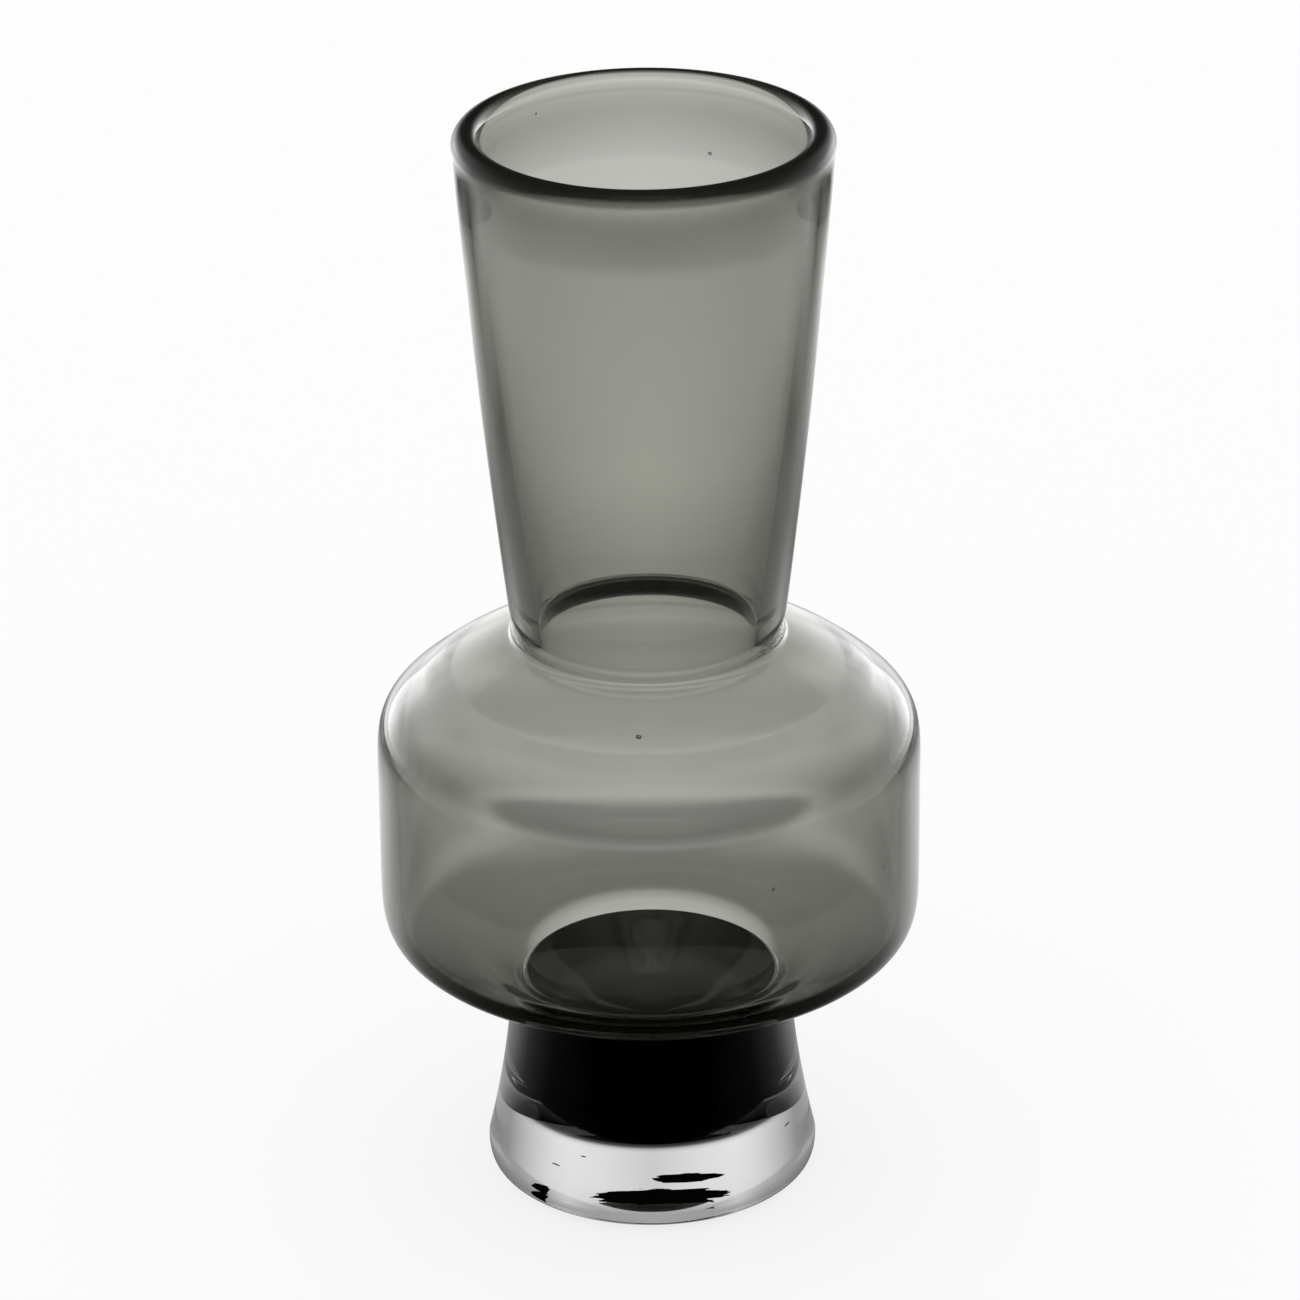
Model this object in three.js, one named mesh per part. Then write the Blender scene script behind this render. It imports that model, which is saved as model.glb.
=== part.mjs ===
import * as THREE from 'three';

// A blown glass vase: a smoke-tinted vessel whose rounded cup sits in a solid clear foot.
// Sizes are in millimetres, +Z is up, and the origin is the centre of the base on the table.

// Outside of the vessel
const height = 307;
const mouthRadius = 50.6;
const neckMiddleRadius = 45.1;
const neckBaseRadius = 36.8;
const neckBaseHeight = 163;
const creaseRound = 2.4;
const shoulderDrop = 24.4;
const shoulderBow = 0.9;
const shoulderBlend = 16.5;
const bellyRadius = 74.4;
const bellyCornerHeight = 75.7;
const bellyBlend = 18;
const cupRadius = 29.5;
const cupCornerHeight = 55.5;
const cupFillet = 10;
const cupBendHeight = 37.5;
const cupBottomHeight = 11;

// Glass thickness and the hollow inside
const rimThickness = 8.2;
const rimRise = 4.7;
const lipBead = 1.8;
const lipBeadHeight = 295;
const lipFootHeight = 282;
const lipFootRadius = 43.2;
const lipReach = 6;
const hollowMiddleRadius = 38;
const throatRadius = 29.1;
const throatHeight = 159.7;
const throatRound = 9.3;
const roofBow = 1.2;
const roofBlend = 20;
const shoulderWall = 3.6;
const bellyWall = 5.5;
const floorWall = 3.7;
const floorBlend = 15;
const wellStartRadius = 52;
const wellBrowRadius = 44;
const wellBrowHeight = 66.8;
const wellLipRadius = 38;
const wellLipHeight = 63.9;
const wellSideRadius = 32;
const wellSideHeight = 58.4;
const wellHeelRadius = 24.5;
const wellHeelHeight = 52.9;
const wellFloorRadius = 17.5;
const wellFloorHeight = 47.9;
const wellDishRadius = 9;
const wellDishHeight = 44.7;
const wellBottomHeight = 41.8;

// Clear foot
const footTopRadius = 38.6;
const footTopRound = 1.9;
const footWaistRadius = 40.2;
const footWaistHeight = 32;
const footRadius = 46.1;
const footRadiusHeight = 7;
const baseFlatRadius = 29.5;
const baseBowRadius = 38.5;
const baseBowHeight = 0.7;
const baseEdgeRadius = 44.7;
const baseEdgeHeight = 2;
const baseSideHeight = 2.9;
const seatClearance = 0.3;

// Fineness of the solids
const turnSegments = 56;
const curveSteps = 6;
const shortSteps = 4;
const cornerSteps = 5;
const wellSteps = 2;

const point = (radius, z) => new THREE.Vector2(radius, z);

// Evenly spread points along a curve, both ends included
function along(curve, steps) {
  return curve.getPoints(steps);
}

// The arc that rounds a corner between two straight runs
function rounded(before, corner, after, radius) {
  const back = before.clone().sub(corner).normalize();
  const ahead = after.clone().sub(corner).normalize();
  const halfAngle = Math.acos(back.dot(ahead)) / 2;
  const inward = back.clone().add(ahead).normalize();
  const centre = corner.clone().addScaledVector(inward, radius / Math.sin(halfAngle));
  const start = corner.clone().addScaledVector(back, radius / Math.tan(halfAngle)).sub(centre);
  const end = corner.clone().addScaledVector(ahead, radius / Math.tan(halfAngle)).sub(centre);
  const turn = Math.atan2(start.cross(end), start.dot(end));
  const arc = [];
  for (let i = 0; i <= cornerSteps; i += 1) {
    arc.push(start.clone().rotateAround(point(0, 0), (turn * i) / cornerSteps).add(centre));
  }
  return arc;
}

// A soft corner between two straight runs, with no break in its curvature where it leaves them
function blended(before, corner, after, reach) {
  const start = corner.clone().addScaledVector(before.clone().sub(corner).normalize(), reach);
  const end = corner.clone().addScaledVector(after.clone().sub(corner).normalize(), reach);
  return along(new THREE.CubicBezierCurve(start, corner, corner, end), cornerSteps + 1);
}

// A sloping run of the section, which can be asked for its height at a radius,
// moved sideways by a wall or a clearance (positive is up)
function slope(inner, outer) {
  const rise = (outer.y - inner.y) / (outer.x - inner.x);
  return (radius, shift) => inner.y + (radius - inner.x) * rise + shift * Math.hypot(1, rise);
}

const crease = point(neckBaseRadius, neckBaseHeight);
const shoulderCorner = point(bellyRadius, neckBaseHeight - shoulderDrop);
const bellyCorner = point(bellyRadius, bellyCornerHeight);
const cupCorner = point(cupRadius, cupCornerHeight);
const shoulder = slope(crease, shoulderCorner);
const underside = slope(cupCorner, bellyCorner);

// Outside of the cup from the axis to the underside of the belly, grown by a clearance
function cupSection(clearance, landRadius) {
  const side = cupRadius + clearance;
  const depth = cupBendHeight - cupBottomHeight + clearance;
  const bowl = new THREE.EllipseCurve(0, cupBendHeight, side, depth, -Math.PI / 2, 0);
  const corner = point(side, underside(side, -clearance));
  const land = point(landRadius, underside(landRadius, -clearance));
  const bend = point(side, cupBendHeight);
  return [...along(bowl, curveSteps + 1), ...rounded(bend, corner, land, cupFillet - clearance)];
}

// The point halfway between two others, moved out to the left of the way from start to end
function bowed(start, end, bow) {
  const way = end.clone().sub(start).normalize();
  return start.clone().add(end).multiplyScalar(0.5).add(point(-way.y, way.x).multiplyScalar(bow));
}

function outsideSection() {
  const neckTop = point(mouthRadius, height - rimRise);
  const neckPull = point(neckMiddleRadius, (neckBaseHeight + neckTop.y) / 2);
  const shoulderPull = bowed(crease, shoulderCorner, 2 * shoulderBow);
  const shoulderArc = blended(bellyCorner, shoulderCorner, shoulderPull, shoulderBlend);
  const creaseArc = rounded(shoulderPull, crease, neckPull, creaseRound);
  const shoulderCurve = new THREE.QuadraticBezierCurve(shoulderArc.at(-1), shoulderPull, creaseArc[0]);
  const neck = new THREE.QuadraticBezierCurve(creaseArc.at(-1), neckPull, neckTop);
  return [
    ...cupSection(0, bellyRadius),
    ...blended(cupCorner, bellyCorner, shoulderCorner, bellyBlend),
    ...shoulderArc,
    ...along(shoulderCurve, shortSteps).slice(1, -1),
    ...creaseArc,
    ...along(neck, curveSteps).slice(1),
  ];
}

// The bowl in the belly's floor: a smooth curve is drawn right across it, of which one half is turned.
// The first point given only sets the slope with which the curve starts at the second
function wellCurve(floorRun) {
  const side = [
    ...floorRun,
    point(wellBrowRadius, wellBrowHeight),
    point(wellLipRadius, wellLipHeight),
    point(wellSideRadius, wellSideHeight),
    point(wellHeelRadius, wellHeelHeight),
    point(wellFloorRadius, wellFloorHeight),
    point(wellDishRadius, wellDishHeight),
  ];
  const farSide = side.map((p) => point(-p.x, p.y)).reverse();
  const across = new THREE.SplineCurve([...side, point(0, wellBottomHeight), ...farSide]);
  const half = wellSteps * side.length;
  return along(across, 2 * half).slice(wellSteps, half + 1);
}

function insideSection() {
  const innerTop = point(mouthRadius - rimThickness, height - rimRise);
  const lipFoot = point(lipFootRadius, lipFootHeight);
  const throat = point(throatRadius, throatHeight);
  const lean = (lipFootRadius - throatRadius) / (lipFootHeight - throatHeight);
  const bead = point(innerTop.x - lipBead, lipBeadHeight);
  const relief = point(lipFootRadius + lipReach * lean, lipFootHeight + lipReach);
  const lip = new THREE.CubicBezierCurve(innerTop, bead, relief, lipFoot);

  const hollowPull = point(hollowMiddleRadius, (lipFootHeight + throatHeight) / 2);
  const roofRadius = bellyRadius - bellyWall;
  const roofCorner = point(roofRadius, shoulder(roofRadius, -shoulderWall));
  const roofPull = bowed(throat, roofCorner, 2 * roofBow);
  const throatArc = rounded(hollowPull, throat, roofPull, throatRound);
  const floorCorner = point(roofRadius, underside(roofRadius, floorWall));
  const roofArc = blended(roofPull, roofCorner, floorCorner, roofBlend);
  const hollow = new THREE.QuadraticBezierCurve(lipFoot, hollowPull, throatArc[0]);
  const roof = new THREE.QuadraticBezierCurve(throatArc.at(-1), roofPull, roofArc[0]);

  const wellStart = point(wellStartRadius, underside(wellStartRadius, floorWall));
  const well = wellCurve([floorCorner, wellStart]);
  return [
    ...along(lip, curveSteps).slice(1),
    ...along(hollow, curveSteps).slice(1, -1),
    ...throatArc,
    ...along(roof, shortSteps).slice(1, -1),
    ...roofArc,
    ...blended(roofCorner, floorCorner, wellStart, floorBlend),
    ...well,
  ];
}

function vesselSection() {
  const halfRim = rimThickness / 2;
  const rim = new THREE.EllipseCurve(mouthRadius - halfRim, height - rimRise, halfRim, rimRise, 0, Math.PI);
  return [...outsideSection(), ...along(rim, curveSteps).slice(1), ...insideSection()];
}

function footSection() {
  const flatEdge = point(baseFlatRadius, 0);
  const baseEdge = point(baseEdgeRadius, baseEdgeHeight);
  const baseBow = new THREE.QuadraticBezierCurve(flatEdge, point(baseBowRadius, baseBowHeight), baseEdge);
  const widest = point(footRadius, footRadiusHeight);
  const waist = point(footWaistRadius, footWaistHeight);
  const topCorner = point(footTopRadius, underside(footTopRadius, -seatClearance));
  const land = point(cupRadius, underside(cupRadius, -seatClearance));
  const topEdge = rounded(waist, topCorner, land, footTopRound);
  const corner = new THREE.QuadraticBezierCurve(baseEdge, point(footRadius, baseSideHeight), widest);
  const side = new THREE.QuadraticBezierCurve(widest, waist, topEdge[0]);
  return [
    point(0, 0),
    ...along(baseBow, shortSteps),
    ...along(corner, shortSteps).slice(1),
    ...along(side, curveSteps).slice(1),
    ...topEdge.slice(1),
    ...cupSection(seatClearance, topEdge.at(-1).x).reverse(),
  ];
}

// A solid of revolution that stands on +Z
function turned(name, section, material) {
  const geometry = new THREE.LatheGeometry(section, turnSegments);
  geometry.rotateX(Math.PI / 2);
  const mesh = new THREE.Mesh(geometry, material);
  mesh.name = name;
  return mesh;
}

const smokeGlass = new THREE.MeshStandardMaterial({
  color: 0x5c5d57,
  roughness: 0.04,
  metalness: 0,
  transparent: true,
  opacity: 0.6,
});

const clearGlass = new THREE.MeshStandardMaterial({
  color: 0xe6e3e2,
  roughness: 0.04,
  metalness: 0,
  transparent: true,
  opacity: 0.35,
});

const vase = new THREE.Group();
vase.add(turned('smoke_vessel', vesselSection(), smokeGlass));
vase.add(turned('clear_foot', footSection(), clearGlass));

export default vase;
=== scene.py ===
import math

import bpy
from mathutils import Matrix, Vector


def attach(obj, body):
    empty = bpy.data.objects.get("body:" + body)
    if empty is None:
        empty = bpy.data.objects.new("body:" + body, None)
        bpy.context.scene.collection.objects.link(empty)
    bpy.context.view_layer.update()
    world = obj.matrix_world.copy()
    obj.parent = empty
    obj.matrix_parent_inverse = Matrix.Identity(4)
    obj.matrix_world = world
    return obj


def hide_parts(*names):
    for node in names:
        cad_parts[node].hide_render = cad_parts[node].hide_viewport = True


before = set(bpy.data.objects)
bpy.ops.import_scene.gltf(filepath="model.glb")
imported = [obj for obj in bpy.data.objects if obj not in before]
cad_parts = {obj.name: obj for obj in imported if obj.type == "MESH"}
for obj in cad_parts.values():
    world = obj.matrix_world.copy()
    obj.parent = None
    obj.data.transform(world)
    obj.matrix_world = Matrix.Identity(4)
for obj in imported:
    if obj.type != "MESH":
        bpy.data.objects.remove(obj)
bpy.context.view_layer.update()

MM = 0.001

# Outside of the vessel, in millimetres like the frame's solids
HEIGHT = 307.0
MOUTH_RADIUS = 50.6
NECK_MIDDLE_RADIUS = 45.1
NECK_BASE_RADIUS = 36.8
NECK_BASE_HEIGHT = 163.0
CREASE_ROUND = 2.4
SHOULDER_DROP = 24.4
SHOULDER_BOW = 0.9
SHOULDER_BLEND = 16.5
BELLY_RADIUS = 74.4
BELLY_CORNER_HEIGHT = 75.7
BELLY_BLEND = 18.0
CUP_RADIUS = 29.5
CUP_CORNER_HEIGHT = 55.5
CUP_FILLET = 10.0
CUP_BEND_HEIGHT = 37.5
CUP_BOTTOM_HEIGHT = 11.0

# Glass thickness and the hollow inside
RIM_THICKNESS = 8.2
RIM_RISE = 4.7
LIP_BEAD = 1.8
LIP_BEAD_HEIGHT = 295.0
LIP_FOOT_HEIGHT = 282.0
LIP_FOOT_RADIUS = 43.2
LIP_REACH = 6.0
HOLLOW_MIDDLE_RADIUS = 38.0
THROAT_RADIUS = 29.1
THROAT_HEIGHT = 159.7
THROAT_ROUND = 9.3
ROOF_BOW = 1.2
ROOF_BLEND = 20.0
SHOULDER_WALL = 3.6
BELLY_WALL = 5.5
FLOOR_WALL = 3.7
FLOOR_BLEND = 15.0
WELL_START_RADIUS = 52.0
WELL_BROW_RADIUS = 44.0
WELL_BROW_HEIGHT = 66.8
WELL_LIP_RADIUS = 38.0
WELL_LIP_HEIGHT = 63.9
WELL_SIDE_RADIUS = 32.0
WELL_SIDE_HEIGHT = 58.4
WELL_HEEL_RADIUS = 24.5
WELL_HEEL_HEIGHT = 52.9
WELL_FLOOR_RADIUS = 17.5
WELL_FLOOR_HEIGHT = 47.9
WELL_DISH_RADIUS = 9.0
WELL_DISH_HEIGHT = 44.7
WELL_BOTTOM_HEIGHT = 41.8

# Clear foot
FOOT_TOP_RADIUS = 38.6
FOOT_TOP_ROUND = 1.9
FOOT_WAIST_RADIUS = 40.2
FOOT_WAIST_HEIGHT = 32.0
FOOT_RADIUS = 46.1
FOOT_RADIUS_HEIGHT = 7.0
BASE_FLAT_RADIUS = 29.5
BASE_BOW_RADIUS = 38.5
BASE_BOW_HEIGHT = 0.7
BASE_EDGE_RADIUS = 44.7
BASE_EDGE_HEIGHT = 2.0
BASE_SIDE_HEIGHT = 2.9
SEAT_CLEARANCE = 0.3

# The two glasses count as fused over their seat, up to this far inside the edge of the seat
FUSED_SHORTFALL = 0.2
# The smoke glass darkens the seat fully above the second height and a little less below the first
SEAT_TINT_HEIGHTS = (46.0, 49.0)
SEAT_TINT_LOW = 0.86

# The crown of the rim gets a painted shade, a near-black matt colour in place of the dark that the
# glass shows there. Its share goes by the turn around the rim's section in degrees, from the outside
# (0) over the top (90) to the inside (180), and is less towards the back of the vase
LIP_PAINTED_SHADE = (0.012, 0.012, 0.01)
LIP_SHADE_STOPS = ((2, 0.0), (20, 0.35), (45, 0.75), (80, 0.97), (108, 0.97), (130, 0.0))
LIP_SHADE_AT_BACK = 0.6

# Seeds, small bubbles in the wall: turn around the vase in degrees from the front, distance from
# the axis, height, and half sizes around the axis, across the wall and up
VESSEL_SEEDS = (
    (-3.1, 49.6, 154.2, 0.8, 0.35, 0.75),
    (-138.6, 44.4, 299.3, 0.35, 0.3, 0.3),
    (156.6, 46.0, 284.6, 0.6, 0.45, 0.5),
    (26.4, 72.2, 117.3, 0.3, 0.3, 0.6),
    (58.8, 72.2, 109.4, 0.25, 0.3, 0.7),
    (-67.0, 72.2, 128.2, 0.35, 0.3, 2.4),
    (-80.0, 49.0, 301.8, 1.0, 0.9, 0.8),
)
FOOT_SEEDS = (
    (-38.2, 42.6, 15.2, 1.5, 0.3, 0.22),
    (-26.9, 41.6, 19.8, 0.9, 0.3, 0.18),
    (61.5, 41.8, 19.5, 1.6, 0.3, 0.25),
)

# Painted dark patches under the foot, which stand for the black cup mirrored in its base: middle and
# half sizes, and how far up they reach
PAINTED_BASE_PATCHES = (
    ((1.8, -20.8), (15.5, 5.6)),
    ((6.8, -7.6), (6.8, 3.4)),
    ((-27.6, -18.6), (3.6, 2.4)),
)
PATCH_DEPTH = 2.0
# Their edges are made ragged by noise, whose grain is counted per metre along X and Y
PATCH_RAGGEDNESS = 1.1
PATCH_GRAIN = (110, 520, 0)
PATCH_OCTAVES = 4.0
NOISE_MIDDLE = 0.5

# The two glasses: how much they bend light, the dark tint of the smoke glass at the seat,
# the colour that each lets through and how fast it absorbs the rest
GLASS_IOR = 1.5
AIR_IOR = 1.0
NO_TINT = (1.0, 1.0, 1.0)
SEAT_TINT = (0.006, 0.006, 0.005)
SMOKE_COLOUR = (0.09, 0.1, 0.0)
SMOKE_DENSITY = 110.0
CLEAR_COLOUR = (0.90, 0.86, 0.86)
CLEAR_DENSITY = 3.0

# Fineness of the modelled meshes
TURN_SEGMENTS = 192
CURVE_STEPS = 40
CORNER_STEPS = 16
WELL_STEPS = 6
SEED_RINGS = 7
SEED_SIDES = 14
SAME_POINT = 1e-6

# Floor, with lengths in metres: a pale matt table, which the camera sees mostly as a plain glow
FLOOR_HALF_SIDE = 3.0
FLOOR_DROP = 0.0003
FLOOR_PAINT = 0.9
FLOOR_GLOW = 0.8

# Camera, as the outline of the photo gives it, with lengths in metres
CAMERA_DISTANCE = 1.525
CAMERA_ELEVATION = math.radians(25.23)
CAMERA_ROLL = math.radians(-0.5)
CAMERA_ASIDE = 0.0005
AIM_HEIGHT = 0.1566
FRAME_SIDE_PX = 1300
FOCAL_PX = 5610
SENSOR_MM = 36.0


def arc(centre, radius_r, radius_z, start, end, steps):
    """Points of an elliptical arc in the radius and height plane, angles in degrees."""
    points = []
    for i in range(steps + 1):
        angle = math.radians(start + (end - start) * i / steps)
        radius = centre[0] + radius_r * math.cos(angle)
        points.append((radius, centre[1] + radius_z * math.sin(angle)))
    return points


def bend(*controls, steps=CURVE_STEPS):
    """Points of a curve from the first control point to the last, drawn towards those between."""
    degree = len(controls) - 1
    points = []
    for i in range(steps + 1):
        t = i / steps
        weights = [math.comb(degree, k) * t ** k * (1 - t) ** (degree - k)
                   for k in range(degree + 1)]
        points.append(tuple(sum(w * c[axis] for w, c in zip(weights, controls)) for axis in (0, 1)))
    return points


def through(*points):
    """A smooth curve from the second point to the last but one; the end points give its slopes."""
    curve = []
    for k in range(1, len(points) - 2):
        p0, p1, p2, p3 = (Vector(p) for p in points[k - 1:k + 3])
        for i in range(WELL_STEPS):
            t = i / WELL_STEPS
            pull = 2 * p0 - 5 * p1 + 4 * p2 - p3
            turn = 3 * p1 - p0 - 3 * p2 + p3
            curve.append(tuple((2 * p1 + (p2 - p0) * t + pull * t ** 2 + turn * t ** 3) / 2))
    return curve + [tuple(points[-2])]


def rounded(before, corner, after, radius):
    """The arc that rounds a corner between two straight runs."""
    corner = Vector(corner)
    back = (Vector(before) - corner).normalized()
    ahead = (Vector(after) - corner).normalized()
    half = back.angle(ahead) / 2
    centre = corner + (back + ahead).normalized() * radius / math.sin(half)
    start = corner + back * radius / math.tan(half) - centre
    end = corner + ahead * radius / math.tan(half) - centre
    turn = math.atan2(start.x * end.y - start.y * end.x, start.dot(end))
    points = []
    for i in range(CORNER_STEPS + 1):
        spoke = Matrix.Rotation(turn * i / CORNER_STEPS, 2) @ start
        points.append(tuple(centre + spoke))
    return points


def blended(before, corner, after, reach):
    """A soft corner between two straight runs, with no break in its curvature at either end."""
    corner = Vector(corner)
    start = corner + (Vector(before) - corner).normalized() * reach
    end = corner + (Vector(after) - corner).normalized() * reach
    return bend(start, corner, corner, end, steps=2 * CORNER_STEPS)


def slope(inner, outer):
    """A sloping run of the section: its height at a radius, moved by a wall (positive is up)."""
    rise = (outer[1] - inner[1]) / (outer[0] - inner[0])
    return lambda radius, shift: inner[1] + (radius - inner[0]) * rise + shift * math.hypot(1, rise)


def join(*runs):
    """One outline from several runs, without doubled points."""
    outline = []
    for run in runs:
        for p in run:
            if not outline or math.dist(p, outline[-1]) > SAME_POINT:
                outline.append(p)
    return outline


CREASE = (NECK_BASE_RADIUS, NECK_BASE_HEIGHT)
SHOULDER_CORNER = (BELLY_RADIUS, NECK_BASE_HEIGHT - SHOULDER_DROP)
BELLY_CORNER = (BELLY_RADIUS, BELLY_CORNER_HEIGHT)
CUP_CORNER = (CUP_RADIUS, CUP_CORNER_HEIGHT)
shoulder = slope(CREASE, SHOULDER_CORNER)
underside = slope(CUP_CORNER, BELLY_CORNER)


def bowed(start, end, bow):
    """The point halfway between two others, moved out to the left of the way from start to end."""
    way = (Vector(end) - Vector(start)).normalized()
    return tuple((Vector(start) + Vector(end)) / 2 + Vector((-way.y, way.x)) * bow)


def foot_top_arc():
    """The soft top edge of the foot, from its side to the edge of the seat."""
    corner = (FOOT_TOP_RADIUS, underside(FOOT_TOP_RADIUS, -SEAT_CLEARANCE))
    land = (CUP_RADIUS, underside(CUP_RADIUS, -SEAT_CLEARANCE))
    return rounded((FOOT_WAIST_RADIUS, FOOT_WAIST_HEIGHT), corner, land, FOOT_TOP_ROUND)


SEAT_RADIUS = foot_top_arc()[-1][0]


def cup_section(clearance):
    """The fused run from the axis, under the cup and out along the seat, grown by a clearance."""
    side = CUP_RADIUS + clearance
    depth = CUP_BEND_HEIGHT - CUP_BOTTOM_HEIGHT + clearance
    bowl = arc((0, CUP_BEND_HEIGHT), side, depth, -90, 0, CURVE_STEPS)
    corner = (side, underside(side, -clearance))
    reach = SEAT_RADIUS - FUSED_SHORTFALL
    land = (reach, underside(reach, -clearance))
    fillet = rounded((side, CUP_BEND_HEIGHT), corner, land, CUP_FILLET - clearance)
    return join(bowl, fillet, [land])


def outside_section():
    """The outside of the vessel, from the edge of the seat up to the rim."""
    neck_top = (MOUTH_RADIUS, HEIGHT - RIM_RISE)
    neck_pull = (NECK_MIDDLE_RADIUS, (NECK_BASE_HEIGHT + neck_top[1]) / 2)
    shoulder_pull = bowed(CREASE, SHOULDER_CORNER, 2 * SHOULDER_BOW)
    shoulder_arc = blended(BELLY_CORNER, SHOULDER_CORNER, shoulder_pull, SHOULDER_BLEND)
    crease_arc = rounded(shoulder_pull, CREASE, neck_pull, CREASE_ROUND)
    seat_edge = SEAT_RADIUS + FUSED_SHORTFALL
    return join(
        [(seat_edge, underside(seat_edge, 0))],
        blended(CUP_CORNER, BELLY_CORNER, SHOULDER_CORNER, BELLY_BLEND),
        shoulder_arc,
        bend(shoulder_arc[-1], shoulder_pull, crease_arc[0]),
        crease_arc,
        bend(crease_arc[-1], neck_pull, neck_top),
    )


def inside_section():
    """The inside of the vessel, from the rim down to the middle of the well."""
    inner_top = (MOUTH_RADIUS - RIM_THICKNESS, HEIGHT - RIM_RISE)
    lip_foot = (LIP_FOOT_RADIUS, LIP_FOOT_HEIGHT)
    throat = (THROAT_RADIUS, THROAT_HEIGHT)
    lean = (LIP_FOOT_RADIUS - THROAT_RADIUS) / (LIP_FOOT_HEIGHT - THROAT_HEIGHT)
    bead = (inner_top[0] - LIP_BEAD, LIP_BEAD_HEIGHT)
    relief = (LIP_FOOT_RADIUS + LIP_REACH * lean, LIP_FOOT_HEIGHT + LIP_REACH)
    hollow_pull = (HOLLOW_MIDDLE_RADIUS, (LIP_FOOT_HEIGHT + THROAT_HEIGHT) / 2)
    roof_radius = BELLY_RADIUS - BELLY_WALL
    roof_corner = (roof_radius, shoulder(roof_radius, -SHOULDER_WALL))
    roof_pull = bowed(throat, roof_corner, 2 * ROOF_BOW)
    throat_arc = rounded(hollow_pull, throat, roof_pull, THROAT_ROUND)
    floor_corner = (roof_radius, underside(roof_radius, FLOOR_WALL))
    roof_arc = blended(roof_pull, roof_corner, floor_corner, ROOF_BLEND)
    well_start = (WELL_START_RADIUS, underside(WELL_START_RADIUS, FLOOR_WALL))
    well = through(
        floor_corner,
        well_start,
        (WELL_BROW_RADIUS, WELL_BROW_HEIGHT),
        (WELL_LIP_RADIUS, WELL_LIP_HEIGHT),
        (WELL_SIDE_RADIUS, WELL_SIDE_HEIGHT),
        (WELL_HEEL_RADIUS, WELL_HEEL_HEIGHT),
        (WELL_FLOOR_RADIUS, WELL_FLOOR_HEIGHT),
        (WELL_DISH_RADIUS, WELL_DISH_HEIGHT),
        (0, WELL_BOTTOM_HEIGHT),
        (-WELL_DISH_RADIUS, WELL_DISH_HEIGHT),
    )
    return join(
        bend(inner_top, bead, relief, lip_foot),
        bend(lip_foot, hollow_pull, throat_arc[0]),
        throat_arc,
        bend(throat_arc[-1], roof_pull, roof_arc[0]),
        roof_arc,
        blended(roof_corner, floor_corner, well_start, FLOOR_BLEND),
        well,
    )


def rim_section():
    """The crown of the rim, from the outside over the top to the inside."""
    half_rim = RIM_THICKNESS / 2
    middle = (MOUTH_RADIUS - half_rim, HEIGHT - RIM_RISE)
    return arc(middle, half_rim, RIM_RISE, 0, 180, 2 * CORNER_STEPS)


def foot_side_section():
    """The foot's base, side and top edge, from the axis to the edge of the seat."""
    widest = (FOOT_RADIUS, FOOT_RADIUS_HEIGHT)
    waist = (FOOT_WAIST_RADIUS, FOOT_WAIST_HEIGHT)
    top = foot_top_arc()
    edge = (BASE_EDGE_RADIUS, BASE_EDGE_HEIGHT)
    base = bend((BASE_FLAT_RADIUS, 0), (BASE_BOW_RADIUS, BASE_BOW_HEIGHT), edge)
    corner = bend(edge, (FOOT_RADIUS, BASE_SIDE_HEIGHT), widest, steps=CORNER_STEPS)
    return join([(0, 0)], base, corner, bend(widest, waist, top[0]), top)


def lip_shade_share(x, y, z):
    """The share of the rim crown's painted shade at a point of the vessel, in metres."""
    half = RIM_THICKNESS / 2
    across = (math.hypot(x, y) / MM - MOUTH_RADIUS + half) / half
    turn = math.degrees(math.atan2((z / MM - HEIGHT + RIM_RISE) / RIM_RISE, across))
    share = 0.0
    for (start, low), (end, high) in zip(LIP_SHADE_STOPS, LIP_SHADE_STOPS[1:]):
        if start <= turn <= end:
            share = low + (high - low) * (turn - start) / (end - start)
    to_back = (1 + y / (MOUTH_RADIUS * MM)) / 2
    return share * (1 - (1 - LIP_SHADE_AT_BACK) * to_back)


def add_seed(verts, faces, turn, radius, height, around, across, up):
    """A small bubble in the wall, whose faces look into it."""
    angle = math.radians(turn)
    out = Vector((math.sin(angle), -math.cos(angle), 0))
    aside = Vector((math.cos(angle), math.sin(angle), 0))
    rise = Vector((0, 0, up))
    middle = out * radius + Vector((0, 0, height))
    first = len(verts)
    for j in range(1, SEED_RINGS):
        polar = math.pi * j / SEED_RINGS
        for k in range(SEED_SIDES):
            way = 2 * math.pi * k / SEED_SIDES
            spot = middle + aside * (around * math.sin(polar) * math.cos(way))
            spot += out * (across * math.sin(polar) * math.sin(way))
            spot += rise * math.cos(polar)
            verts.append(tuple(spot * MM))
    top = len(verts)
    verts.append(tuple((middle + rise) * MM))
    verts.append(tuple((middle - rise) * MM))
    last = first + (SEED_RINGS - 2) * SEED_SIDES
    for k in range(SEED_SIDES):
        n = (k + 1) % SEED_SIDES
        faces.append((top, first + k, first + n))
        faces.append((top + 1, last + n, last + k))
        for j in range(SEED_RINGS - 2):
            low = first + j * SEED_SIDES
            faces.append((low + k, low + SEED_SIDES + k, low + SEED_SIDES + n, low + n))


def seat_share(z, fused):
    """The share of the seat's tint at a height in metres, where the glass is fused (1) or not (0)."""
    low, high = SEAT_TINT_HEIGHTS
    rise = min(max((z / MM - low) / (high - low), 0), 1)
    return fused * (SEAT_TINT_LOW + (1 - SEAT_TINT_LOW) * rise)


def mark_points(mesh, name, values):
    """Keeps a number at each point of a mesh, for its glass to read."""
    layer = mesh.attributes.new(name, "FLOAT", "POINT")
    layer.data.foreach_set("value", values)


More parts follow.
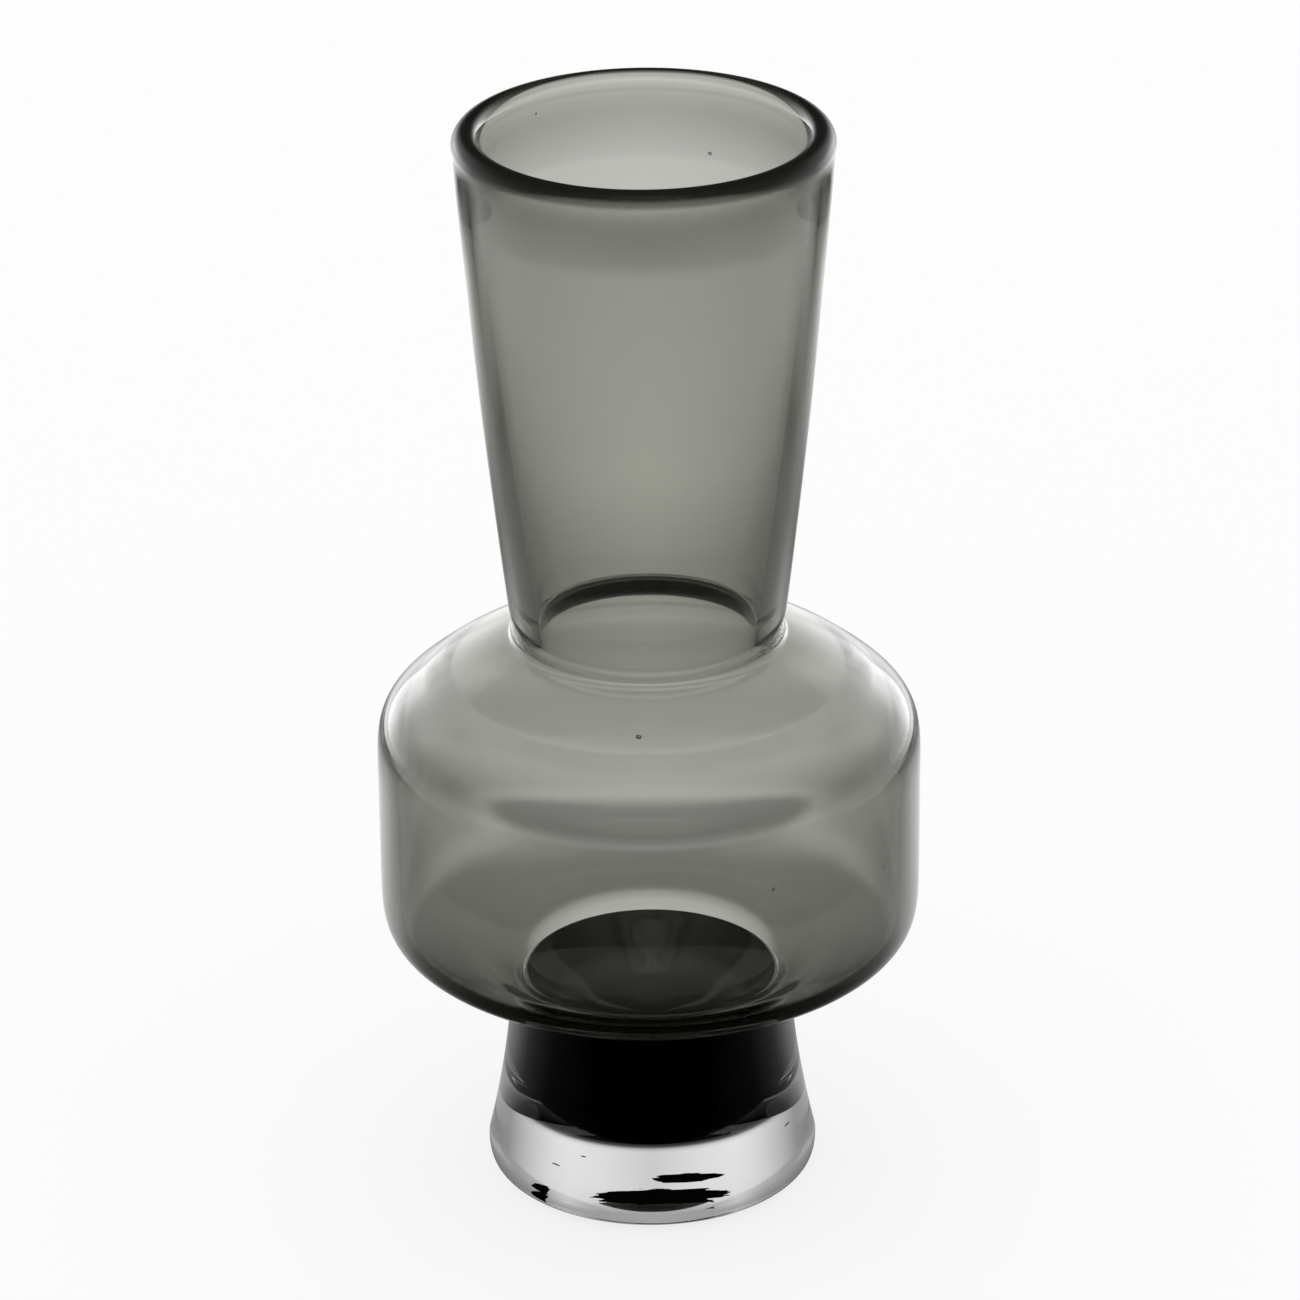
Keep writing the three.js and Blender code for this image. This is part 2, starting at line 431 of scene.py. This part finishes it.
def turned(name, *runs, seeds=()):
    """A closed solid of revolution about +Z, from runs of its section, each (points, fused)."""
    section = []
    fused = []
    for points, is_fused in runs:
        for p in points:
            if not section or math.dist(p, section[-1]) > SAME_POINT:
                section.append(p)
                fused.append(float(is_fused))
    verts = []
    for r, z in section[1:-1]:
        for k in range(TURN_SEGMENTS):
            angle = 2 * math.pi * k / TURN_SEGMENTS
            verts.append((r * MM * math.cos(angle), r * MM * math.sin(angle), z * MM))
    ring_count = len(section) - 2
    marks = [value for value in fused[1:-1] for _ in range(TURN_SEGMENTS)]
    faces = []
    for j in range(ring_count - 1):
        for k in range(TURN_SEGMENTS):
            n = (k + 1) % TURN_SEGMENTS
            faces.append((j * TURN_SEGMENTS + k, j * TURN_SEGMENTS + n,
                          (j + 1) * TURN_SEGMENTS + n, (j + 1) * TURN_SEGMENTS + k))
    first_pole = len(verts)
    last_pole = first_pole + 1
    verts += [(0, 0, section[0][1] * MM), (0, 0, section[-1][1] * MM)]
    marks += [fused[0], fused[-1]]
    last = (ring_count - 1) * TURN_SEGMENTS
    for k in range(TURN_SEGMENTS):
        n = (k + 1) % TURN_SEGMENTS
        faces.append((first_pole, n, k))
        faces.append((last_pole, last + k, last + n))
    for seed in seeds:
        add_seed(verts, faces, *seed)
    marks += [0.0] * (len(verts) - len(marks))
    mesh = bpy.data.meshes.new(name)
    mesh.from_pydata(verts, [], faces)
    mesh.polygons.foreach_set("use_smooth", [True] * len(mesh.polygons))
    mark_points(mesh, "fused", marks)
    mark_points(mesh, "seat", [seat_share(v[2], m) for v, m in zip(verts, marks)])
    # Share of the painted shade on the rim's crown, kept at each point
    mark_points(mesh, "lip_shade", [lip_shade_share(*v) for v in verts])
    mesh.update()
    piece = bpy.data.objects.new(name, mesh)
    bpy.context.collection.objects.link(piece)
    return piece


def cleared(owner):
    """The nodes and links of a material or world, with nothing in them yet."""
    owner.use_nodes = True
    owner.node_tree.nodes.clear()
    return owner.node_tree.nodes, owner.node_tree.links


def maths(nodes, links, operation, *sources):
    """The output of one sum, whose sources are numbers or other outputs."""
    node = nodes.new("ShaderNodeMath")
    node.operation = operation
    for socket, source in zip(node.inputs, sources):
        if isinstance(source, (int, float)):
            socket.default_value = source
        else:
            links.new(source, socket)
    return node.outputs[0]


def length_of(nodes, links, vector):
    """The length of a vector."""
    node = nodes.new("ShaderNodeVectorMath")
    node.operation = "LENGTH"
    links.new(vector, node.inputs[0])
    return node.outputs["Value"]


def split_of(nodes, links, vector):
    """The three outputs X, Y and Z of a vector."""
    node = nodes.new("ShaderNodeSeparateXYZ")
    links.new(vector, node.inputs[0])
    return node.outputs


def point_value(nodes, name):
    """The number that a mesh keeps at its points under a name."""
    node = nodes.new("ShaderNodeAttribute")
    node.attribute_name = name
    return node.outputs["Fac"]


def mixed(nodes, links, share, first, second):
    """A blend of two shaders, with the share of the second."""
    node = nodes.new("ShaderNodeMixShader")
    links.new(share, node.inputs["Fac"])
    links.new(first.outputs[0], node.inputs[1])
    links.new(second.outputs[0], node.inputs[2])
    return node


def painted_base_patches(nodes, links):
    """1 on the painted dark patches under the foot, 0 elsewhere."""
    place = nodes.new("ShaderNodeTexCoord").outputs["Object"]
    grain = nodes.new("ShaderNodeMapping")
    grain.inputs["Scale"].default_value = PATCH_GRAIN
    links.new(place, grain.inputs["Vector"])
    noise = nodes.new("ShaderNodeTexNoise")
    noise.inputs["Scale"].default_value = 1.0
    noise.inputs["Detail"].default_value = PATCH_OCTAVES
    links.new(grain.outputs["Vector"], noise.inputs["Vector"])
    edge_noise = maths(nodes, links, "SUBTRACT", noise.outputs["Fac"], NOISE_MIDDLE)
    edge_noise = maths(nodes, links, "MULTIPLY", edge_noise, PATCH_RAGGEDNESS)
    total = 0.0
    for (x, y), (half_x, half_y) in PAINTED_BASE_PATCHES:
        fit = nodes.new("ShaderNodeMapping")
        fit.vector_type = "TEXTURE"
        fit.inputs["Location"].default_value = (x * MM, y * MM, 0)
        fit.inputs["Scale"].default_value = (half_x * MM, half_y * MM, PATCH_DEPTH * MM)
        links.new(place, fit.inputs["Vector"])
        edge = maths(nodes, links, "ADD", length_of(nodes, links, fit.outputs["Vector"]), edge_noise)
        total = maths(nodes, links, "MAXIMUM", total, maths(nodes, links, "LESS_THAN", edge, 1.0))
    return total


def glass(name, seat_tint, colour, density, painted_patches=None):
    """Blown glass; its colour comes from the light that it absorbs, and a near-black matt share
    paints shade on the rim's crown and dark patches under the foot.
    """
    material = bpy.data.materials.new(name)
    nodes, links = cleared(material)
    out = nodes.new("ShaderNodeOutputMaterial")
    clear = nodes.new("ShaderNodeBsdfPrincipled")
    clear.inputs["Roughness"].default_value = 0.0
    clear.inputs["Transmission Weight"].default_value = 1.0
    ior = nodes.new("ShaderNodeMapRange")
    ior.inputs["To Min"].default_value = GLASS_IOR
    ior.inputs["To Max"].default_value = AIR_IOR
    links.new(point_value(nodes, "fused"), ior.inputs["Value"])
    links.new(ior.outputs["Result"], clear.inputs["IOR"])
    seat = nodes.new("ShaderNodeMix")
    seat.data_type = "RGBA"
    seat.inputs["A"].default_value = (*NO_TINT, 1.0)
    seat.inputs["B"].default_value = (*seat_tint, 1.0)
    links.new(point_value(nodes, "seat"), seat.inputs["Factor"])
    links.new(seat.outputs["Result"], clear.inputs["Base Color"])
    # A near-black matt shader paints shade on the rim's crown and dark patches under the foot, in
    # place of the dark that the glass shows there
    dark = nodes.new("ShaderNodeBsdfDiffuse")
    dark.inputs["Color"].default_value = (*LIP_PAINTED_SHADE, 1.0)
    dark_share = point_value(nodes, "lip_shade")
    if painted_patches:
        dark_share = maths(nodes, links, "MAXIMUM", dark_share, painted_patches(nodes, links))
    body = mixed(nodes, links, dark_share, clear, dark)
    links.new(body.outputs["Shader"], out.inputs["Surface"])
    volume = nodes.new("ShaderNodeVolumeAbsorption")
    volume.inputs["Color"].default_value = (*colour, 1.0)
    volume.inputs["Density"].default_value = density
    links.new(volume.outputs["Volume"], out.inputs["Volume"])
    return material


# Brightness of the studio as the glass sees it. The first number of a row is the distance on the
# table in metres or the height above the horizon in degrees; the others go by the turn away from
# straight behind the vase in degrees (TURNS)
TURNS = (0, 14, 24, 30, 34, 48, 62, 80, 105, 140, 180)
# The low values close to the vase, above all in front of it, paint the vase's shadow on the table
TABLE_THROUGH = (
    (0.03, (0.5, 0.5, 0.5, 0.5, 0.5, 0.5, 0.5, 0.5, 0.5, 0.5, 0.5)),
    (0.042, (0.6, 0.55, 0.5, 0.5, 0.5, 0.5, 0.4, 0.2, 0.0, 0.0, 0.0)),
    (0.05, (0.03, 0.03, 0.03, 0.03, 0.03, 0.03, 0.03, 0.02, 0.0, 0.0, 0.0)),
    (0.08, (0.18, 0.18, 0.16, 0.14, 0.12, 0.1, 0.06, 0.04, 0.02, 0.0, 0.0)),
    (0.11, (0.5, 0.46, 0.42, 0.36, 0.3, 0.2, 0.1, 0.05, 0.02, 0.0, 0.0)),
    (0.143, (0.54, 0.5, 0.45, 0.42, 0.4, 0.3, 0.2, 0.1, 0.05, 0.0, 0.0)),
    (0.163, (0.46, 0.46, 0.46, 0.44, 0.42, 0.33, 0.2, 0.1, 0.05, 0.0, 0.0)),
    (0.182, (0.5, 0.5, 0.5, 0.46, 0.42, 0.35, 0.2, 0.15, 0.15, 0.2, 0.3)),
    (0.212, (0.84, 0.86, 0.8, 0.7, 0.62, 0.46, 0.38, 0.32, 0.3, 0.6, 0.9)),
    (0.28, (1.18, 1.16, 1.0, 0.8, 0.62, 0.46, 0.42, 0.4, 0.4, 0.8, 1.1)),
    (0.335, (0.96, 0.88, 0.7, 0.5, 0.4, 0.35, 0.4, 0.4, 0.4, 0.7, 0.95)),
    (0.38, (1.02, 0.88, 0.66, 0.5, 0.42, 0.35, 0.4, 0.45, 0.4, 0.7, 1.0)),
    (0.46, (1.28, 1.1, 0.88, 0.65, 0.55, 0.5, 0.5, 0.5, 0.5, 0.8, 1.2)),
    (0.6, (1.08, 1.06, 0.92, 0.8, 0.75, 0.7, 0.65, 0.65, 0.6, 0.8, 1.05)),
    (1.0, (0.84, 0.8, 0.64, 0.55, 0.5, 0.5, 0.5, 0.55, 0.5, 0.7, 0.85)),
)
SKY_THROUGH = (
    (0, (0.5, 0.45, 0.4, 0.35, 0.3, 0.3, 0.35, 0.45, 0.5, 0.25, 0.2)),
    (15, (0.5, 0.45, 0.8, 0.6, 0.5, 0.4, 0.42, 0.5, 0.5, 0.3, 0.3)),
    (24, (0.55, 0.65, 0.9, 0.8, 0.7, 0.5, 0.42, 0.4, 0.4, 0.3, 0.2)),
    (28, (0.84, 1.0, 1.05, 1.0, 0.95, 0.68, 0.42, 0.4, 0.5, 0.9, 0.85)),
    (32.6, (0.84, 1.0, 1.08, 1.05, 0.98, 0.7, 0.4, 0.4, 0.5, 0.9, 0.85)),
    (33.1, (0.0, 0.0, 0.0, 0.0, 0.0, 0.0, 0.0, 0.1, 0.3, 0.2, 0.05)),
    (40, (0.05, 0.05, 0.05, 0.0, 0.0, 0.0, 0.0, 0.1, 0.25, 0.3, 0.3)),
    (60, (0.1, 0.1, 0.1, 0.1, 0.1, 0.05, 0.05, 0.3, 0.6, 0.8, 0.9)),
    (78, (0.15, 0.2, 0.15, 0.1, 0.1, 0.1, 0.2, 0.2, 0.45, 0.85, 1.0)),
)
TABLE_MIRRORED = (
    (0.1, (0.3, 0.3, 0.3, 0.3, 0.4, 0.5, 0.5, 0.2, 0.0, 0.0, 0.0)),
    (0.2, (0.8, 0.8, 0.9, 0.9, 0.9, 0.9, 0.8, 0.3, 0.1, 0.0, 0.0)),
    (0.26, (1.0, 1.0, 1.0, 1.0, 1.0, 1.0, 0.6, 0.25, 0.1, 0.0, 0.0)),
    (0.33, (0.7, 0.7, 0.6, 0.6, 0.65, 0.9, 0.6, 0.4, 0.2, 0.1, 0.0)),
    (0.4, (0.6, 0.5, 0.3, 0.3, 0.35, 0.45, 0.5, 0.4, 0.2, 0.1, 0.0)),
    (0.46, (0.7, 0.6, 0.4, 0.35, 0.35, 0.4, 0.1, 0.6, 0.4, 0.2, 0.0)),
    (0.55, (1.0, 1.0, 0.8, 0.75, 0.7, 0.35, 0.6, 1.1, 0.5, 0.2, 0.0)),
    (0.64, (1.4, 1.5, 1.3, 1.2, 0.8, 0.05, 1.3, 1.0, 0.5, 0.5, 0.3)),
    (0.73, (1.5, 1.5, 1.0, 0.2, 0.1, 0.4, 1.2, 0.8, 0.6, 0.8, 0.8)),
    (0.85, (1.5, 1.7, 2.2, 2.4, 2.6, 2.0, 1.0, 0.8, 0.8, 1.0, 1.2)),
    (1.1, (1.6, 1.7, 2.4, 3.0, 3.2, 2.6, 1.2, 1.0, 1.0, 1.2, 1.4)),
)
SKY_MIRRORED = (
    (0, (1.2, 2.4, 5.4, 6.4, 6.4, 4.0, 1.8, 1.2, 1.0, 1.0, 1.0)),
    (7, (0.5, 1.2, 3.4, 5.0, 5.4, 3.0, 1.6, 1.2, 0.8, 0.8, 0.8)),
    (13, (0.1, 0.4, 2.2, 2.8, 3.2, 2.3, 1.5, 1.1, 0.5, 0.2, 0.1)),
    (25, (0.1, 0.1, 0.8, 1.4, 2.0, 2.0, 1.3, 0.9, 0.5, 0.2, 0.1)),
    (34, (0.1, 0.1, 0.2, 0.6, 0.9, 1.0, 0.8, 0.6, 0.45, 0.3, 0.2)),
    (42, (0.1, 0.1, 0.1, 0.2, 0.3, 0.6, 0.6, 0.6, 0.5, 0.5, 0.4)),
    (60, (0.1, 0.1, 0.1, 0.1, 0.15, 0.3, 0.5, 0.6, 0.7, 0.7, 0.7)),
)
# Distances on the table are drawn together so that the near ones keep their detail
NEAR_REACH = 0.2


def on_table(rows):
    """Rows by distance on the table, with the distances drawn together to run from 0 to 1."""
    return [(reach / (reach + NEAR_REACH), values) for reach, values in rows]


def in_sky(rows):
    """Rows by height above the horizon, with the heights as shares of a right angle."""
    return [(rise / 90, values) for rise, values in rows]


def ramp(nodes, links, source, stops):
    """Straight runs of a value over a source from 0 to 1, with stops of (position, value)."""
    run = nodes.new("ShaderNodeFloatCurve")
    curve = run.mapping.curves[0]
    run.mapping.use_clip = False
    while len(curve.points) < len(stops):
        curve.points.new(0.5, 0.5)
    for point, (position, value) in zip(curve.points, stops):
        point.location = (position, value)
        point.handle_type = "VECTOR"
    run.mapping.update()
    links.new(source, run.inputs["Value"])
    return run.outputs[0]


def brightness(nodes, links, turn, place, rows):
    """Blends the rows that lie on both sides of a place, each of which gives values by the turn."""
    total = None
    for k, (position, values) in enumerate(rows):
        stops = [(position, 1.0)]
        if k > 0:
            stops.insert(0, (rows[k - 1][0], 0.0))
        if k < len(rows) - 1:
            stops.append((rows[k + 1][0], 0.0))
        if stops[0][0] > 0:
            stops.insert(0, (0.0, stops[0][1]))
        if stops[-1][0] < 1:
            stops.append((1.0, stops[-1][1]))
        share = ramp(nodes, links, place, stops)
        row = ramp(nodes, links, turn, [(t / TURNS[-1], v) for t, v in zip(TURNS, values)])
        part = maths(nodes, links, "MULTIPLY", share, row)
        total = part if total is None else maths(nodes, links, "ADD", total, part)
    return total


def turn_of(nodes, links, split):
    """The turn away from straight behind, from 0 to 1 for half a turn."""
    angle = maths(nodes, links, "ARCTAN2", split["X"], split["Y"])
    return maths(nodes, links, "DIVIDE", maths(nodes, links, "ABSOLUTE", angle), math.pi)


def seen_light(nodes, links, path, split, place, through_rows, mirrored_rows):
    """Brightness for the light that comes through the glass and for the light that it mirrors."""
    turn = turn_of(nodes, links, split)
    pick = nodes.new("ShaderNodeMix")
    links.new(path["Is Transmission Ray"], pick.inputs["Factor"])
    links.new(brightness(nodes, links, turn, place, mirrored_rows), pick.inputs["A"])
    links.new(brightness(nodes, links, turn, place, through_rows), pick.inputs["B"])
    return pick.outputs["Result"]


def backdrop_world():
    """Plain white for the camera and the table; for the glass, the studio by direction."""
    world = bpy.data.worlds.new("studio")
    bpy.context.scene.world = world
    nodes, links = cleared(world)
    out = nodes.new("ShaderNodeOutputWorld")
    split = split_of(nodes, links, nodes.new("ShaderNodeTexCoord").outputs["Generated"])
    angle = maths(nodes, links, "ARCSINE", split["Z"])
    rise = maths(nodes, links, "DIVIDE", angle, math.pi / 2)
    rise = maths(nodes, links, "MAXIMUM", rise, 0.0)
    path = nodes.new("ShaderNodeLightPath").outputs
    light = seen_light(nodes, links, path, split, rise, in_sky(SKY_THROUGH), in_sky(SKY_MIRRORED))
    studio = nodes.new("ShaderNodeBackground")
    links.new(light, studio.inputs["Strength"])
    white = nodes.new("ShaderNodeBackground")
    white.inputs["Color"].default_value = (1, 1, 1, 1)
    plain = maths(nodes, links, "MAXIMUM", path["Is Camera Ray"], path["Is Diffuse Ray"])
    mix = mixed(nodes, links, plain, studio, white)
    links.new(mix.outputs[0], out.inputs["Surface"])


def floor_paint():
    """Pale and matt for the camera, with the vase's shadow; for the glass, the studio by place."""
    material = bpy.data.materials.new("floor")
    nodes, links = cleared(material)
    out = nodes.new("ShaderNodeOutputMaterial")
    spot = nodes.new("ShaderNodeNewGeometry").outputs["Position"]
    split = split_of(nodes, links, spot)
    reach = length_of(nodes, links, spot)
    near = maths(nodes, links, "DIVIDE", reach, maths(nodes, links, "ADD", reach, NEAR_REACH))
    path = nodes.new("ShaderNodeLightPath").outputs
    light = seen_light(nodes, links, path, split, near, on_table(TABLE_THROUGH),
                       on_table(TABLE_MIRRORED))
    studio = nodes.new("ShaderNodeEmission")
    links.new(light, studio.inputs["Strength"])
    paint = nodes.new("ShaderNodeBsdfDiffuse")
    paint.inputs["Color"].default_value = (FLOOR_PAINT, FLOOR_PAINT, FLOOR_PAINT, 1)
    glow = nodes.new("ShaderNodeEmission")
    glow_share = maths(nodes, links, "MULTIPLY", path["Is Camera Ray"], FLOOR_GLOW)
    seen = mixed(nodes, links, glow_share, paint, glow)
    clear = maths(nodes, links, "MAXIMUM", path["Is Glossy Ray"], path["Is Transmission Ray"])
    mix = mixed(nodes, links, clear, seen, studio)
    links.new(mix.outputs[0], out.inputs["Surface"])
    return material


def floor():
    """The table that the vase stands on."""
    ends = (-FLOOR_HALF_SIDE, FLOOR_HALF_SIDE)
    corners = [(x, y, -FLOOR_DROP) for y in ends for x in ends]
    mesh = bpy.data.meshes.new("floor")
    mesh.from_pydata(corners, [], [(0, 1, 3, 2)])
    mesh.materials.append(floor_paint())
    obj = bpy.data.objects.new("floor", mesh)
    bpy.context.collection.objects.link(obj)


def camera():
    """The photo's view."""
    data = bpy.data.cameras.new("camera")
    data.sensor_width = SENSOR_MM
    data.lens = SENSOR_MM * FOCAL_PX / FRAME_SIDE_PX
    cam = bpy.data.objects.new("camera", data)
    bpy.context.collection.objects.link(cam)
    aim = Vector((CAMERA_ASIDE, 0, AIM_HEIGHT))
    away = Vector((0, -math.cos(CAMERA_ELEVATION), math.sin(CAMERA_ELEVATION)))
    cam.location = aim + away * CAMERA_DISTANCE
    look = (aim - cam.location).to_track_quat("-Z", "Y").to_matrix().to_4x4()
    roll = Matrix.Rotation(CAMERA_ROLL, 4, "Z")
    cam.matrix_world = Matrix.Translation(cam.location) @ look @ roll
    bpy.context.scene.camera = cam


bpy.context.scene.view_settings.view_transform = "Standard"
camera()
backdrop_world()
floor()

vessel = turned("vessel", (cup_section(0), True), (outside_section(), False),
                (rim_section(), False), (inside_section(), False), seeds=VESSEL_SEEDS)
foot = turned("foot", (foot_side_section(), False), (reversed(cup_section(SEAT_CLEARANCE)), True),
              seeds=FOOT_SEEDS)
smoke_glass = glass("smoke_glass", SEAT_TINT, SMOKE_COLOUR, SMOKE_DENSITY)
clear_glass = glass("clear_glass", NO_TINT, CLEAR_COLOUR, CLEAR_DENSITY, painted_base_patches)
vessel.data.materials.append(smoke_glass)
foot.data.materials.append(clear_glass)

for piece, node, slot in ((vessel, "smoke_vessel", "smoke_glass"),
                          (foot, "clear_foot", "clear_glass")):
    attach(piece, "root")
    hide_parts(node)
